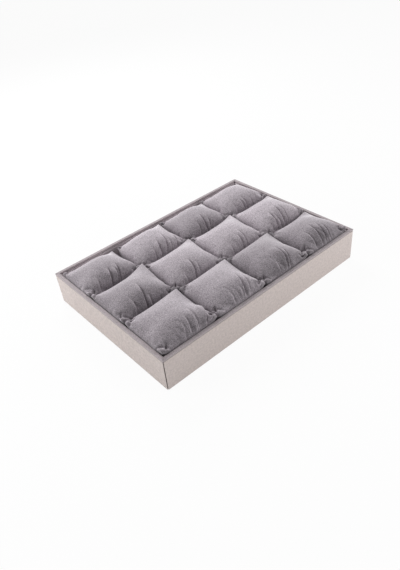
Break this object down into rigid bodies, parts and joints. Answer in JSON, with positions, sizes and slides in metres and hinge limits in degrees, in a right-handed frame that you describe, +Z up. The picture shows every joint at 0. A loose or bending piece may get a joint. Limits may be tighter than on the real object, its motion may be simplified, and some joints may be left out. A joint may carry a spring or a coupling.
{
  "type": "jewelry drawer insert",
  "caption": "Shallow cloth-covered tray for a drawer, with a velvet rim and a grid of small stuffed velvet pillows that lift out, so a bracelet or watch can be strapped round each.",
  "frame": {"origin": "middle of the underside, on the surface that the tray stands on", "axes": "+X along the tray, +Y to its back, +Z up"},
  "size_m": [0.35, 0.24, 0.0675],
  "materials": {
    "outer_cloth": "matt warm grey brushed cloth with a fine speckled weave, glued over the outside",
    "rim_velvet": "short pile grey velvet stretched over the rim",
    "velvet_lining": "short pile grey velvet on card",
    "pillow_velvet": "short pile mauve grey velvet, sewn and gathered at the seams",
    "polyester_fibre": "loose white polyester fibre",
    "greyboard": "pressed grey fibreboard, hidden under the cloth",
    "underside_felt": "thin pressed grey felt"
  },
  "bodies": {
    "tray": {"underside_sheet": "underside_felt", "base_board": "greyboard", "floor_panel": "velvet_lining", "front_outer_cloth": "outer_cloth", "front_wall_board": "greyboard", "front_rim_velvet": "rim_velvet", "front_lining_panel": "velvet_lining", "right_outer_cloth": "outer_cloth", "right_wall_board": "greyboard", "right_rim_velvet": "rim_velvet", "right_lining_panel": "velvet_lining", "back_outer_cloth": "outer_cloth", "back_wall_board": "greyboard", "back_rim_velvet": "rim_velvet", "back_lining_panel": "velvet_lining", "left_outer_cloth": "outer_cloth", "left_wall_board": "greyboard", "left_rim_velvet": "rim_velvet", "left_lining_panel": "velvet_lining"},
    "front_pillow_1": {"front_pillow_1_cover": "pillow_velvet", "front_pillow_1_stuffing": "polyester_fibre"},
    "front_pillow_2": {"front_pillow_2_cover": "pillow_velvet", "front_pillow_2_stuffing": "polyester_fibre"},
    "front_pillow_3": {"front_pillow_3_cover": "pillow_velvet", "front_pillow_3_stuffing": "polyester_fibre"},
    "front_pillow_4": {"front_pillow_4_cover": "pillow_velvet", "front_pillow_4_stuffing": "polyester_fibre"},
    "middle_pillow_1": {"middle_pillow_1_cover": "pillow_velvet", "middle_pillow_1_stuffing": "polyester_fibre"},
    "middle_pillow_2": {"middle_pillow_2_cover": "pillow_velvet", "middle_pillow_2_stuffing": "polyester_fibre"},
    "middle_pillow_3": {"middle_pillow_3_cover": "pillow_velvet", "middle_pillow_3_stuffing": "polyester_fibre"},
    "middle_pillow_4": {"middle_pillow_4_cover": "pillow_velvet", "middle_pillow_4_stuffing": "polyester_fibre"},
    "back_pillow_1": {"back_pillow_1_cover": "pillow_velvet", "back_pillow_1_stuffing": "polyester_fibre"},
    "back_pillow_2": {"back_pillow_2_cover": "pillow_velvet", "back_pillow_2_stuffing": "polyester_fibre"},
    "back_pillow_3": {"back_pillow_3_cover": "pillow_velvet", "back_pillow_3_stuffing": "polyester_fibre"},
    "back_pillow_4": {"back_pillow_4_cover": "pillow_velvet", "back_pillow_4_stuffing": "polyester_fibre"}
  },
  "joints": [
    {"name": "front_pillow_1_lift", "type": "slide", "parent": "tray", "child": "front_pillow_1", "axis": [0, 0, 1], "range_m": [0, 0.07]},
    {"name": "front_pillow_2_lift", "type": "slide", "parent": "tray", "child": "front_pillow_2", "axis": [0, 0, 1], "range_m": [0, 0.07]},
    {"name": "front_pillow_3_lift", "type": "slide", "parent": "tray", "child": "front_pillow_3", "axis": [0, 0, 1], "range_m": [0, 0.07]},
    {"name": "front_pillow_4_lift", "type": "slide", "parent": "tray", "child": "front_pillow_4", "axis": [0, 0, 1], "range_m": [0, 0.07]},
    {"name": "middle_pillow_1_lift", "type": "slide", "parent": "tray", "child": "middle_pillow_1", "axis": [0, 0, 1], "range_m": [0, 0.07]},
    {"name": "middle_pillow_2_lift", "type": "slide", "parent": "tray", "child": "middle_pillow_2", "axis": [0, 0, 1], "range_m": [0, 0.07]},
    {"name": "middle_pillow_3_lift", "type": "slide", "parent": "tray", "child": "middle_pillow_3", "axis": [0, 0, 1], "range_m": [0, 0.07]},
    {"name": "middle_pillow_4_lift", "type": "slide", "parent": "tray", "child": "middle_pillow_4", "axis": [0, 0, 1], "range_m": [0, 0.07]},
    {"name": "back_pillow_1_lift", "type": "slide", "parent": "tray", "child": "back_pillow_1", "axis": [0, 0, 1], "range_m": [0, 0.07]},
    {"name": "back_pillow_2_lift", "type": "slide", "parent": "tray", "child": "back_pillow_2", "axis": [0, 0, 1], "range_m": [0, 0.07]},
    {"name": "back_pillow_3_lift", "type": "slide", "parent": "tray", "child": "back_pillow_3", "axis": [0, 0, 1], "range_m": [0, 0.07]},
    {"name": "back_pillow_4_lift", "type": "slide", "parent": "tray", "child": "back_pillow_4", "axis": [0, 0, 1], "range_m": [0, 0.07]}
  ]
}
